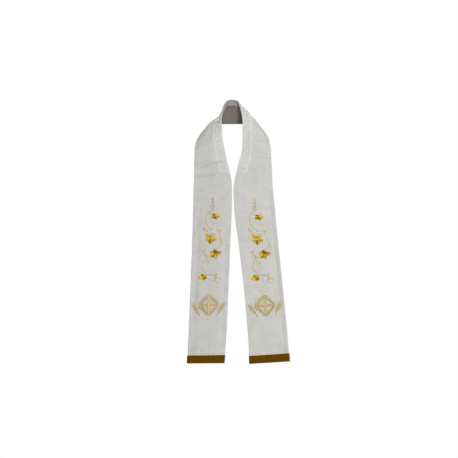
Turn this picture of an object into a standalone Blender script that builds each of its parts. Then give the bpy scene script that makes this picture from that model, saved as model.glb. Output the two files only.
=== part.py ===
"""Clerical stole, filled out as if worn, with no wearer.

Frame: metres, +Z up, the front faces -Y and the wearer's right side is -X. The origin is the
middle of the neck edge at the nape, on the cloth's outer face. Sizes and tables are in
millimetres and are turned into metres when a mesh is made.

Each half is a strip of cloth that runs from the nape seam, round the side of the neck, over
the shoulder and down the chest to its hem. Its sections lie across the strip, from the inner
(neck) edge to the outer (shoulder) edge. What lies on a half is cut flat first and then laid
on the half's own points, lifted clear of them.
"""
import math
from collections import namedtuple

import bmesh
import bpy
from mathutils import Vector
from mathutils.geometry import delaunay_2d_cdt

MM = 0.001

# ---------------------------------------------------------------- driving sizes (mm)
CLOTH = 2.0                 # face cloth with its interlining, one wall
SEAM_GAP = 0.3              # between the two halves at the nape
TRIM_GAP = 0.4              # between a half and what is sewn on it
FINE_ROW = 10.0             # length of a mesh row over the neck and chest
FINE_END = 360.0            # where the rows get longer, down from the nape
LONG_ROW = 36.0             # length of a mesh row down the hanging strip
COLUMNS = (0, 0.06, 0.16, 0.28, 0.4, 0.52, 0.64, 0.76, 0.84, 0.89, 0.945, 1)

LACE = 1.0                  # lace wall
LACE_GAP = 0.7              # between the lace and the cloth that it wraps
LACE_WIDTH = 40.0           # from the neck edge to the tip of a scallop, on the outside
LACE_INSIDE = 22.0          # from the neck edge to the lace's straight edge, on the inside
LACE_END = 350.0            # length of the lace along the neck edge, each side of the nape
SCALLOPS = 7.5              # scallops on each side; the nape is the middle of one
SCALLOP_DEPTH = 8.0
CRIMP = 2.2                 # height of the crimps where the lace is eased round the nape
CRIMP_PITCH = 24.0
CRIMP_END = 84.0            # along the neck edge from the nape

BAND_HEIGHT = 32.0          # hem band, from its top edge to its fold
BAND_ROWS = 4
BAND_WALL = 1.3
BAND_CROWN = 1.4            # how far the band's face is padded out
BAND_OVERHANG = 1.5         # past each side edge of the strip

APPLIQUE = 1.2              # thickness of the raised embroidery

# ---------------------------------------------------------------- sections (mm)
# inner, outer: the two ends of the section; bow: its middle pushed outwards;
# roll: pressed in near the neck and out near the shoulder, like a standing collar
Section = namedtuple("Section", "name inner outer bow roll")
RIGHT_SECTIONS = (
    Section("nape", (0, 0, 0), (0, 17, -97), 0, 0),
    Section("nape_side", (-16, -3, -1), (-30, 15, -97), 0, 0),
    Section("behind_neck", (-29, -13, -12), (-63, 9, -98), -2, 4),
    Section("neck_turn", (-39, -30, -38), (-97, -3, -107), -4, 8),
    Section("shoulder", (-46, -51, -75), (-123, -22, -128), -1, 6),
    Section("over", (-46, -69, -108), (-143, -46, -157), 3, 3),
    Section("collarbone", (-43, -83, -147), (-154, -68, -195), 5, 0),
    Section("upper_chest", (-36, -96, -194), (-157, -86, -240), 5, 0),
    Section("chest", (-21, -112, -263), (-158, -99, -300), 5, 0),
    Section("meeting", (-3, -124, -336), (-160, -107, -357), 4, 0),
    Section("below", (-1, -130, -400), (-161, -111, -410), 4, 0),
    Section("middle", (-8, -134, -587), (-166, -110, -592), 4, 0),
    Section("thigh", (-16, -132, -790), (-174, -108, -795), 4, 0),
    Section("low", (-25, -129, -985), (-182, -107, -990), 4, 0),
    Section("hem", (-33, -127, -1084), (-186, -106, -1086), 4, 0),
)
LEFT_SECTIONS = (
    Section("nape", (0, 0, 0), (0, 17, -97), 0, 0),
    Section("nape_side", (16, -3, -1), (30, 15, -97), 2, 0),
    Section("behind_neck", (28, -12, -10), (70, 9, -98), 7, 0),
    Section("neck_turn", (38, -29, -42), (109, -2, -108), 12, 0),
    Section("shoulder", (43, -49, -80), (137, -24, -134), 10, 0),
    Section("over", (45, -68, -118), (152, -48, -167), 7, 0),
    Section("collarbone", (45, -83, -158), (159, -70, -205), 6, 0),
    Section("upper_chest", (42, -96, -208), (162, -88, -250), 6, 0),
    Section("chest", (26, -111, -270), (165, -101, -304), 5, 0),
    Section("meeting", (7, -124, -345), (168, -111, -360), 4, 0),
    Section("below", (7, -130, -430), (174, -117, -428), 4, 0),
    Section("middle", (28, -134, -610), (191, -123, -604), 4, 0),
    Section("thigh", (49, -132, -790), (209, -122, -780), 4, 0),
    Section("low", (65, -129, -985), (228, -121, -973), 4, 0),
    Section("hem", (71, -127, -1087), (236, -120, -1077), 4, 0),
)

# ---------------------------------------------------------------- folds (mm)
# start, end: (down the strip from the nape, share of the width from the inner edge);
# depth: pressed in, or raised where it is below zero
Fold = namedtuple("Fold", "name start end depth half_width")
RIGHT_FOLDS = (
    Fold("chest_valley", (286, 1.0), (298, 0.3), 6.0, 11),
    Fold("chest_ridge", (264, 1.0), (278, 0.4), -2.0, 12),
    Fold("upper_crease", (262, 0.85), (256, 0.45), 3.0, 10),
    Fold("lower_crease", (340, 1.0), (346, 0.5), 3.0, 10),
    Fold("shoulder_drag", (150, 0.95), (196, 0.45), 2.5, 13),
    Fold("inner_pinch", (641, 0.2), (643, 0.0), 2.0, 9),
    Fold("long_flute", (470, 0.84), (1040, 0.89), 2.5, 12),
    Fold("back_drag", (20, 0.75), (84, 0.9), 2.5, 12),
)
LEFT_FOLDS = (
    Fold("shoulder_hollow", (204, 0.4), (226, 0.95), 3.0, 16),
    Fold("chest_crease", (268, 0.4), (244, 0.95), 3.5, 11),
    Fold("outer_crease", (512, 0.72), (490, 1.0), 2.5, 14),
    Fold("inner_crease", (508, 0.0), (510, 0.28), 2.0, 12),
    Fold("long_trough", (430, 0.86), (1200, 0.86), 4.5, 12),
    Fold("rolled_edge", (450, 1.0), (1200, 1.0), -2.5, 9),
    Fold("back_drag", (24, 0.7), (90, 0.85), 2.5, 12),
)

# ---------------------------------------------------------------- raised embroidery (mm)
# down: from the nape along the strip; across: from its centre line, + to +X;
# tips: each lobe's direction in degrees, 0 to +X and 90 up, and its reach;
# notches: the reach between each lobe and the next
Leaf = namedtuple("Leaf", "name down across tips notches")
LEAVES = (
    Leaf("leaf_1", 516, 14, ((-8, 19.5), (52, 15), (150, 16.5), (196, 19.5), (292, 13.5)),
         (13.5, 10.5, 14, 10, 12)),
    Leaf("leaf_2", 608, -3, ((-92, 22.5), (-8, 25), (40, 20), (142, 25), (192, 22)),
         (16, 18, 13, 19, 15)),
    Leaf("leaf_3", 671, 17, ((9, 29), (92, 19.5), (160, 22), (215, 22), (290, 19.5)),
         (15, 15, 17, 14, 14)),
    Leaf("leaf_4", 766, -29, ((188, 21.5), (300, 15), (345, 19), (390, 17), (470, 14)),
         (9, 14, 15, 11, 11.5)),
)
RIGHT_DOWN_SHIFT = 0.0      # the pattern on each half, moved down its strip
LEFT_DOWN_SHIFT = 7.0

MEDALLION_DOWN = 882.0
MEDALLION_RADIUS = 22.0     # of the circle through the four lobes' centres, less the lobes
MEDALLION_LOBE = 19.0
MEDALLION_FRAME = 6.5       # width of the quatrefoil frame
CROSS_ARM = 7.5             # width of the cross inside it
SPRIG_GRAINS = 4            # pairs of grains on a wheat sprig
SPRIG_ROOT = (36.0, -43.0)  # across and up, from the medallion's centre
SPRIG_LENGTH = 54.0
SPRIG_LEAN = 60.0           # degrees above level
GRAIN = (13.0, 6.0)         # length and width


# ---------------------------------------------------------------- the halves
class Half:
    """One half of the stole: a smooth strip through its sections, and its mesh grid."""

    def __init__(self, side, sections, folds):
        self.side = side
        self.folds = folds
        self.inner = [Vector(s.inner) for s in sections]
        self.outer = [Vector(s.outer) for s in sections]
        self.shape = [Vector((s.bow, s.roll, 0)) for s in sections]
        self.inner[0].x = self.outer[0].x = side * SEAM_GAP / 2
        self.at = [0.0]
        for i in range(1, len(sections)):
            step = (self.inner[i] + self.outer[i] - self.inner[i - 1] - self.outer[i - 1]) / 2
            self.at.append(self.at[-1] + step.length)
        self.length = self.at[-1]
        band_top = self.length - BAND_HEIGHT
        self.rows = spaced(0, FINE_END, FINE_ROW)
        self.rows += spaced(FINE_END, band_top, LONG_ROW)[1:]
        self.rows += spaced(band_top, self.length, BAND_HEIGHT / BAND_ROWS)[1:]
        self.points = [[self.surface(u, v) for v in COLUMNS] for u in self.rows]
        self.normals = [[self.surface_normal(u, v) for v in COLUMNS] for u in self.rows]
        self.edge = [0.0]
        for above, below in zip(self.points, self.points[1:]):
            self.edge.append(self.edge[-1] + (below[0] - above[0]).length)

    def blend(self, values, u, mirror):
        """Smooth curve through the sections' values; a mirrored section stands before the nape."""
        at = [-self.at[1]] + self.at
        ghost = values[1].copy()
        ghost.x *= mirror
        values = [ghost] + values
        k = 0
        while k < len(at) - 2 and u > at[k + 1]:
            k += 1

        def slope(i):
            before = (values[i] - values[i - 1]) / (at[i] - at[i - 1]) if i > 0 else None
            after = (values[i + 1] - values[i]) / (at[i + 1] - at[i]) if i + 1 < len(at) else None
            if before is None or after is None:
                return before or after
            near, far = at[i] - at[i - 1], at[i + 1] - at[i]
            return (before * far + after * near) / (near + far)

        h = at[k + 1] - at[k]
        t = (u - at[k]) / h
        return (values[k] * (2 * t**3 - 3 * t**2 + 1) + slope(k) * h * (t**3 - 2 * t**2 + t)
                + values[k + 1] * (3 * t**2 - 2 * t**3) + slope(k + 1) * h * (t**3 - t**2))

    def section(self, u):
        inner = self.blend(self.inner, u, -1)
        outer = self.blend(self.outer, u, -1)
        shape = self.blend(self.shape, u, 1)
        return inner, outer, shape

    def width(self, u):
        inner, outer, _ = self.section(u)
        return (outer - inner).length

    def pressed(self, u, v):
        """How far the folds press the cloth in at this place."""
        width = self.width(u)
        depth = 0.0
        for fold in self.folds:
            start = Vector((fold.start[0], fold.start[1] * width))
            run = Vector((fold.end[0], fold.end[1] * width)) - start
            here = Vector((u, v * width)) - start
            share = min(1.0, max(0.0, here.dot(run) / run.length_squared))
            away = (here - run * share).length
            fade = math.sin(math.pi * (0.15 + 0.7 * share))
            depth += fold.depth * fade * math.exp(-(away / fold.half_width) ** 2)
        return depth

    def surface(self, u, v):
        inner, outer, shape = self.section(u)
        ahead_in, ahead_out, _ = self.section(u + 1)
        behind_in, behind_out, _ = self.section(u - 1)
        along = ahead_in + ahead_out - behind_in - behind_out
        out = (along.cross(outer - inner) * self.side).normalized()
        lift = 4 * v * (1 - v) * shape.x - math.sin(2 * math.pi * v) * shape.y
        return inner.lerp(outer, v) + out * (lift - self.pressed(u, v))

    def surface_normal(self, u, v):
        step = 2.0
        along = self.surface(u + step, v) - self.surface(u - step, v)
        share = step / self.width(u)
        across = self.surface(u, v + share) - self.surface(u, v - share)
        return (along.cross(across) * self.side).normalized()

    def locate(self, u, v):
        """The point and normal of the mesh itself, on the triangle that holds (u, v)."""
        i = last_below(self.rows, u)
        j = last_below(COLUMNS, v)
        fu = (u - self.rows[i]) / (self.rows[i + 1] - self.rows[i])
        fv = (v - COLUMNS[j]) / (COLUMNS[j + 1] - COLUMNS[j])
        found = []
        for grid in (self.points, self.normals):
            a, b, c, d = grid[i][j], grid[i + 1][j], grid[i + 1][j + 1], grid[i][j + 1]
            if fu >= fv:
                found.append(a + (b - a) * fu + (c - b) * fv)
            else:
                found.append(a + (d - a) * fv + (c - d) * fu)
        return found[0], found[1].normalized()

    def lay(self, u, v, lift):
        point, normal = self.locate(u, v)
        return point + normal * lift

    def down_edge(self, s):
        """Where on the strip a length s along the neck edge from the nape comes to."""
        i = last_below(self.edge, s)
        share = (s - self.edge[i]) / (self.edge[i + 1] - self.edge[i])
        return self.rows[i] + share * (self.rows[i + 1] - self.rows[i])


def spaced(start, stop, step):
    count = max(1, round(abs(stop - start) / step))
    return [start + (stop - start) * i / count for i in range(count + 1)]


def last_below(values, x):
    """Index of the stretch of a rising list that holds x; the end stretches reach past the list."""
    i = 0
    while i < len(values) - 2 and x > values[i + 1]:
        i += 1
    return i


# ---------------------------------------------------------------- flat shapes
def flat_triangles(outlines, holes, points, lines=()):
    """Triangles inside any outline and outside every hole, with their corners, as 2-D points."""
    corners, edges = [], []
    for loop in list(outlines) + list(holes):
        first = len(corners)
        corners += [Vector(p) for p in loop]
        edges += [(first + i, first + (i + 1) % len(loop)) for i in range(len(loop))]
    for line in lines:
        first = len(corners)
        corners += [Vector(p) for p in line]
        edges += [(first + i, first + i + 1) for i in range(len(line) - 1)]
    corners += [Vector(p) for p in points]
    found = delaunay_2d_cdt(corners, edges, [], 0, 0.001)
    verts, faces = found[0], found[2]
    kept = []
    for face in faces:
        middle = (verts[face[0]] + verts[face[1]] + verts[face[2]]) / 3
        in_shape = any(inside(middle, loop) for loop in outlines)
        if in_shape and not any(inside(middle, loop) for loop in holes):
            kept.append(tuple(face))
    return verts, kept


def inside(point, loop):
    hit = False
    x, y = point
    for (ax, ay), (bx, by) in zip(loop, loop[1:] + loop[:1]):
        if (ay > y) != (by > y) and x < ax + (bx - ax) * (y - ay) / (by - ay):
            hit = not hit
    return hit


def clear_of(point, loops, distance):
    return all((Vector(point) - Vector(p)).length > distance for loop in loops for p in loop)


def turned(points, degrees, centre=(0, 0)):
    turn = math.radians(degrees)
    cos, sin = math.cos(turn), math.sin(turn)
    return [(centre[0] + x * cos - y * sin, centre[1] + x * sin + y * cos) for x, y in points]


def oval(length, width, sides):
    steps = [2 * math.pi * i / sides for i in range(sides)]
    return [(length / 2 * math.cos(a), width / 2 * math.sin(a)) for a in steps]


# ---------------------------------------------------------------- objects
def material(name, rgb, roughness, metallic=0.0):
    made = bpy.data.materials.new(name)
    made.use_nodes = True
    shader = made.node_tree.nodes["Principled BSDF"]
    linear = [((c / 255 + 0.055) / 1.055) ** 2.4 for c in rgb]
    shader.inputs["Base Color"].default_value = (*linear, 1)
    shader.inputs["Roughness"].default_value = roughness
    shader.inputs["Metallic"].default_value = metallic
    return made


def wall(name, points, faces, thickness, finish, outwards=True):
    """A closed wall on an open sheet: the sheet is its inner face, or its outer one."""
    sheet = bmesh.new()
    corners = [sheet.verts.new(p * MM) for p in points]
    for face in faces:
        sheet.faces.new([corners[i] for i in face])
    loose = [v for v in sheet.verts if not v.link_faces]
    bmesh.ops.delete(sheet, geom=loose, context="VERTS")
    mesh = bpy.data.meshes.new(name)
    sheet.to_mesh(mesh)
    sheet.free()
    mesh.materials.append(finish)
    made = bpy.data.objects.new(name, mesh)
    bpy.data.collections["clerical_stole"].objects.link(made)
    solid = made.modifiers.new("wall", "SOLIDIFY")
    solid.thickness = thickness * MM
    solid.offset = 1.0 if outwards else -1.0
    solid.use_even_offset = True
    return made


def grid_faces(rows, columns, flip):
    """Triangles of a grid, each cell cut from its first corner to the one across."""
    faces = []
    for i in range(rows - 1):
        for j in range(columns - 1):
            a, b = i * columns + j, (i + 1) * columns + j
            faces += [(a, b, b + 1), (a, b + 1, a + 1)]
    return [face[::-1] for face in faces] if flip else faces


def make_half(name, half, finish):
    points = [p for row in half.points for p in row]
    faces = grid_faces(len(half.rows), len(COLUMNS), half.side < 0)
    return wall(name, points, faces, CLOTH, finish, outwards=False)


def make_hem_band(name, half, finish):
    """A band folded round the hem: up the front, round the cloth's edge and up the back."""
    margin = BAND_OVERHANG / half.width(half.length)
    columns = [-margin] + list(COLUMNS[1:-1]) + [1 + margin]
    legs = spaced(BAND_HEIGHT, 0, BAND_HEIGHT / BAND_ROWS)
    turn = spaced(0, 180, 45)[1:-1]
    radius = CLOTH / 2 + TRIM_GAP
    points = []
    for up in legs:
        crown = BAND_CROWN * math.sin(math.pi * up / BAND_HEIGHT)
        points += [half.lay(half.length - up, v, TRIM_GAP + crown) for v in columns]
    for angle in turn:
        reach = radius * math.sin(math.radians(angle))
        lift = radius * math.cos(math.radians(angle)) - CLOTH / 2
        points += [half.lay(half.length + reach, v, lift) for v in columns]
    for up in reversed(legs):
        points += [half.lay(half.length - up, v, -CLOTH - TRIM_GAP) for v in columns]
    faces = grid_faces(2 * len(legs) + len(turn), len(columns), half.side < 0)
    return wall(name, points, faces, BAND_WALL, finish)


# ---------------------------------------------------------------- lace
def scallop(s):
    """Width of the lace on the outside at s along the neck edge."""
    pitch = LACE_END / SCALLOPS
    wave = abs(math.cos(math.pi * s / pitch)) ** 0.6
    width = LACE_WIDTH - SCALLOP_DEPTH * (1 - wave)
    corner = 14.0
    past = max(0.0, abs(s) - (LACE_END - corner))
    return width - corner + math.sqrt(max(0.0, corner**2 - past**2))


def crimp(s):
    if abs(s) > CRIMP_END:
        return 0.0
    return CRIMP * (0.5 - 0.5 * math.cos(2 * math.pi * (CRIMP_END - abs(s)) / CRIMP_PITCH))


def lace_turn():
    """Length of lace that goes round the neck edge."""
    return math.pi * (CLOTH / 2 + LACE_GAP)


def lace_point(halves, s, w):
    """Place of the flat lace's point: s along the neck edge, w out from it, below zero inside."""
    half = halves["left" if s >= 0 else "right"]
    u = half.down_edge(abs(s))
    width = half.width(u)
    gap = LACE_GAP + crimp(s)
    if w >= 0:
        point = half.lay(u, w / width, gap)
    elif w > -lace_turn():
        edge, normal = half.locate(u, 0)
        away = (edge - half.locate(u, COLUMNS[1])[0]).normalized()
        angle = -math.pi * w / lace_turn()
        radius = CLOTH / 2 + gap
        point = edge - normal * (CLOTH / 2)
        point += normal * radius * math.cos(angle) + away * radius * math.sin(angle)
    else:
        point = half.lay(u, (-w - lace_turn()) / width, -CLOTH - gap)
    if s == 0:
        point.x = 0
    return point


def lace_holes():
    """Eyelet flowers: five petals in each scallop, and an eyelet between two scallops."""
    pitch = LACE_END / SCALLOPS
    reach = int(SCALLOPS)
    holes = []
    for i in range(-reach, reach + 1):
        for petal in range(5):
            turn = 90 + 72 * petal
            petal_at = turned([(7.6, 0)], turn, (i * pitch, 20))[0]
            holes.append(turned(oval(7.4, 4.8, 7), turn, petal_at))
    for i in range(-reach, reach):
        holes.append(turned(oval(5, 5, 6), 0, ((i + 0.5) * pitch, 17)))
    return holes


def make_lace(name, halves, finish):
    pitch = LACE_END / SCALLOPS
    turn = lace_turn()
    straight = -turn - LACE_INSIDE
    near = spaced(0, CRIMP_END, CRIMP_PITCH / 4)
    half_row = near + spaced(CRIMP_END, LACE_END, 14)[1:]
    row = [-s for s in reversed(half_row[1:])] + half_row
    outer = [(s, scallop(s)) for s in spaced(-LACE_END, LACE_END, pitch / 8)]
    outline = outer + [(s, straight) for s in reversed(row)]
    holes = lace_holes()
    folds = [-turn * i / 4 for i in range(5)]
    lines = [[(s, w) for s in row] for w in folds]
    inner = [(s, w) for s in row for w in (9, 20, 29) if abs(s) < LACE_END]
    inner = [p for p in inner if clear_of(p, holes, 3.5) and p[1] < scallop(p[0]) - 3]
    inner += [(s, -turn - LACE_INSIDE * share) for s in row for share in (0.33, 0.67)
              if abs(s) < LACE_END]
    flat, faces = flat_triangles([outline], holes, inner, lines)
    points = [lace_point(halves, s, w) for s, w in flat]
    return wall(name, points, faces, LACE, finish)


# ---------------------------------------------------------------- raised embroidery
def make_applique(name, half, down, across, outlines, holes, finish):
    """A raised shape: (x, y) of its outlines is across to +X and up from its centre."""
    reach = [p for loop in outlines for p in loop]
    left, right = min(x for x, _ in reach), max(x for x, _ in reach)
    low, high = min(y for _, y in reach), max(y for _, y in reach)
    lines = []
    for v in COLUMNS:
        x_low, x_high = [half.side * (v - 0.5) * half.width(down - y) - across for y in (low, high)]
        if left < x_low < right:
            lines.append([(x_low, low), (x_high, high)])
    flat, faces = flat_triangles(outlines, holes, (), lines)
    points = []
    for x, y in flat:
        u = down - y
        points.append(half.lay(u, 0.5 + half.side * (across + x) / half.width(u), TRIM_GAP))
    return wall(name, points, faces, APPLIQUE, finish)


def leaf_outline(tips, notches):
    """A vine leaf: pointed lobes with a notch between each and the next."""
    outline = []
    for i, (start, reach) in enumerate(tips):
        end, next_reach = tips[(i + 1) % len(tips)]
        half = (end - start) % 360 / 2
        steps = [(k / 3, start + half * k / 3, reach) for k in range(3)]
        steps += [(1 - k / 3, start + half * (1 + k / 3), next_reach) for k in range(3)]
        for share, degrees, long in steps:
            radius = long + (notches[i] - long) * math.sin(math.pi / 2 * share) ** 1.2
            a = math.radians(degrees)
            outline.append((radius * math.cos(a), radius * math.sin(a)))
    return outline


def quatrefoil(radius, lobe):
    """Four round lobes and the four corners between them."""
    outline = []
    for quarter in range(4):
        turn = 90 * quarter
        for degrees in range(-90, 91, 30):
            a = math.radians(degrees)
            outline += turned([(radius + lobe * math.cos(a), lobe * math.sin(a))], turn)
        corner = radius + lobe * 0.35
        outline += turned([(corner, corner)], turn)
    return outline


def medallion_windows():
    """The four quarters between the cross and the frame."""
    radius, lobe = MEDALLION_RADIUS, MEDALLION_LOBE - MEDALLION_FRAME
    arm = CROSS_ARM / 2
    corner = (radius + MEDALLION_LOBE) / 2 - 0.7 * MEDALLION_FRAME
    rise = math.sqrt(lobe**2 - arm**2)
    quarter = [(arm, arm), (radius + rise, arm), (radius + lobe * 0.6, lobe * 0.8),
               (radius, lobe), (corner, corner)]
    quarter += [(y, x) for x, y in reversed(quarter[1:-1])]
    return [turned(quarter, 90 * i) for i in range(4)]


def sprig_outlines(side):
    """A wheat sprig beside the medallion: a stem, pairs of grains and one at its tip."""
    lean = 90 - side * (90 - SPRIG_LEAN)
    root = (side * SPRIG_ROOT[0], SPRIG_ROOT[1])
    stem_width = 3.0
    stem = [(0, -stem_width / 2), (SPRIG_LENGTH, -stem_width / 2),
            (SPRIG_LENGTH, stem_width / 2), (0, stem_width / 2)]
    outlines = [stem]
    for i in range(SPRIG_GRAINS):
        at = SPRIG_LENGTH * (0.38 + 0.19 * i)
        for hand in (-1, 1):
            grain = turned(oval(*GRAIN, 8), hand * 32, (at, hand * 3.6))
            outlines.append(grain)
    outlines.append(turned(oval(*GRAIN, 8), 0, (SPRIG_LENGTH + 2, 0)))
    return [turned(loop, lean, root) for loop in outlines]


def make_embroidery(side, half, shift, gold, pale_gold):
    for leaf in LEAVES:
        outline = leaf_outline(leaf.tips, leaf.notches)
        make_applique(f"{leaf.name}_{side}", half, leaf.down + shift, leaf.across,
                      [outline], [], gold)
    down = MEDALLION_DOWN + shift
    frame = quatrefoil(MEDALLION_RADIUS, MEDALLION_LOBE)
    make_applique(f"medallion_{side}", half, down, 0, [frame], medallion_windows(), pale_gold)
    for hand, word in ((-1, "a"), (1, "b")):
        make_applique(f"wheat_{word}_{side}", half, down, 0, sprig_outlines(hand), [], pale_gold)


# ---------------------------------------------------------------- the stole
def clear_scene():
    for old in list(bpy.data.objects):
        bpy.data.objects.remove(old, do_unlink=True)


def build():
    clear_scene()
    bpy.context.scene.collection.children.link(bpy.data.collections.new("clerical_stole"))
    white = material("white_cloth", (203, 202, 198), 0.75)
    lace_white = material("white_lace", (208, 207, 203), 0.8)
    gold = material("gold_thread", (196, 152, 52), 0.38, 0.5)
    pale_gold = material("pale_gold_thread", (204, 184, 142), 0.42, 0.35)
    brown = material("gold_brown_band", (104, 75, 20), 0.7, 0.1)

    halves = {"right": Half(-1, RIGHT_SECTIONS, RIGHT_FOLDS),
              "left": Half(1, LEFT_SECTIONS, LEFT_FOLDS)}
    shifts = {"right": RIGHT_DOWN_SHIFT, "left": LEFT_DOWN_SHIFT}
    for side, half in halves.items():
        make_half(f"half_{side}", half, white)
        make_hem_band(f"hem_band_{side}", half, brown)
        make_embroidery(side, half, shifts[side], gold, pale_gold)
    make_lace("lace_collar", halves, lace_white)


build()
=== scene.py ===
"""Looks of the clerical stole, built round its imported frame.

Tables are in millimetres and are turned into metres when a mesh is made. Every piece lies on
the same strips as the solids: u runs down a strip from the nape seam, v is the share of its
width from the inner (neck) edge, and a lift stands out from the cloth's outer face.
"""
import math
from collections import namedtuple

import bmesh
import bpy
import numpy as np
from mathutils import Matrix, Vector
from mathutils.geometry import delaunay_2d_cdt


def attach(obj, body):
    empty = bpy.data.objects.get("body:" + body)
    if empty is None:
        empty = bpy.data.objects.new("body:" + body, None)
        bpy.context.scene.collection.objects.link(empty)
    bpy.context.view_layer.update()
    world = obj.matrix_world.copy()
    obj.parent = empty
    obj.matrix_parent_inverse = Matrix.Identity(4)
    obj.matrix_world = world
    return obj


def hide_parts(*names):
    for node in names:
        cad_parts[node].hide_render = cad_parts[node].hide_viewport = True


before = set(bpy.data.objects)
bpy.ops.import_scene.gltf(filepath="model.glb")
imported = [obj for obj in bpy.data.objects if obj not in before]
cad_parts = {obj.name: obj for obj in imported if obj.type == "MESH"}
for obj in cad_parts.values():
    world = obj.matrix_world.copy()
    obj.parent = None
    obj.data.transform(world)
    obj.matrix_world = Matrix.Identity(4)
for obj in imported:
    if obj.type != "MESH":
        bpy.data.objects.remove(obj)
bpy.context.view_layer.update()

MM = 0.001

SEAM_GAP = 0.02                             # closed by its stitches; 0.3 in the solids
# ---------------------------------------------------------------- sizes shared with the solids
CLOTH = 2.0
LACE_GAP = 0.7
LACE_WIDTH = 40.0
LACE_INSIDE = 22.0
LACE_END = 350.0
SCALLOPS = 7.5                              # from the nape to either end
SCALLOP_DEPTH = 8.0
BAND_HEIGHT = 32.0
BAND_OVERHANG = 1.5

Section = namedtuple("Section", "name inner outer bow roll")
RIGHT_SECTIONS = [Section(*row) for row in (
    ("nape", (0, 0, 0), (0, 17, -97), 0, 0),
    ("nape_side", (-16, -3, -1), (-30, 15, -97), 0, 0),
    ("behind_neck", (-29, -13, -12), (-63, 9, -98), -2, 4),
    ("neck_turn", (-39, -30, -38), (-97, -3, -107), -4, 8),
    ("shoulder", (-46, -51, -75), (-123, -22, -128), -1, 6),
    ("over", (-46, -69, -108), (-143, -46, -157), 3, 3),
    ("collarbone", (-43, -83, -147), (-154, -68, -195), 5, 0),
    ("upper_chest", (-36, -96, -194), (-157, -86, -240), 5, 0),
    ("chest", (-21, -112, -263), (-158, -99, -300), 5, 0),
    ("meeting", (-3, -124, -336), (-160, -107, -357), 4, 0),
    ("below", (-1, -130, -400), (-161, -111, -410), 4, 0),
    ("middle", (-8, -134, -587), (-166, -110, -592), 4, 0),
    ("thigh", (-16, -132, -790), (-174, -108, -795), 4, 0),
    ("low", (-25, -129, -985), (-182, -107, -990), 4, 0),
    ("hem", (-33, -127, -1084), (-186, -106, -1086), 4, 0),
)]
LEFT_SECTIONS = [Section(*row) for row in (
    ("nape", (0, 0, 0), (0, 17, -97), 0, 0),
    ("nape_side", (16, -3, -1), (30, 15, -97), 2, 0),
    ("behind_neck", (28, -12, -10), (70, 9, -98), 7, 0),
    ("neck_turn", (38, -29, -42), (109, -2, -108), 12, 0),
    ("shoulder", (43, -49, -80), (137, -24, -134), 10, 0),
    ("over", (45, -68, -118), (152, -48, -167), 7, 0),
    ("collarbone", (45, -83, -158), (159, -70, -205), 6, 0),
    ("upper_chest", (42, -96, -208), (162, -88, -250), 6, 0),
    ("chest", (26, -111, -270), (165, -101, -304), 5, 0),
    ("meeting", (7, -124, -345), (168, -111, -360), 4, 0),
    ("below", (7, -130, -430), (174, -117, -428), 4, 0),
    ("middle", (28, -134, -610), (191, -123, -604), 4, 0),
    ("thigh", (49, -132, -790), (209, -122, -780), 4, 0),
    ("low", (65, -129, -985), (228, -121, -973), 4, 0),
    ("hem", (71, -127, -1087), (236, -120, -1077), 4, 0),
)]

# start, end: (down the strip, share of the width from the inner edge)
Fold = namedtuple("Fold", "name start end depth half_width")
RIGHT_FOLDS = [Fold(*row) for row in (
    ("chest_valley", (286, 1.0), (298, 0.3), 6.0, 11),
    ("chest_ridge", (264, 1.0), (278, 0.4), -2.0, 12),
    ("upper_crease", (262, 0.85), (256, 0.45), 3.0, 10),
    ("lower_crease", (340, 1.0), (346, 0.5), 3.0, 10),
    ("shoulder_drag", (150, 0.95), (196, 0.45), 2.5, 13),
    ("inner_pinch", (641, 0.2), (643, 0.0), 2.0, 9),
    ("long_flute", (470, 0.84), (1040, 0.89), 2.5, 12),
    ("back_drag", (20, 0.75), (84, 0.9), 2.5, 12),
)]
LEFT_FOLDS = [Fold(*row) for row in (
    ("shoulder_hollow", (204, 0.4), (226, 0.95), 3.0, 16),
    ("chest_crease", (268, 0.4), (244, 0.95), 3.5, 11),
    ("outer_crease", (512, 0.72), (490, 1.0), 2.5, 14),
    ("inner_crease", (508, 0.0), (510, 0.28), 2.0, 12),
    ("long_trough", (430, 0.86), (1200, 0.86), 4.5, 12),
    ("rolled_edge", (450, 1.0), (1200, 1.0), -2.5, 9),
    ("back_drag", (24, 0.7), (90, 0.85), 2.5, 12),
)]
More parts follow.
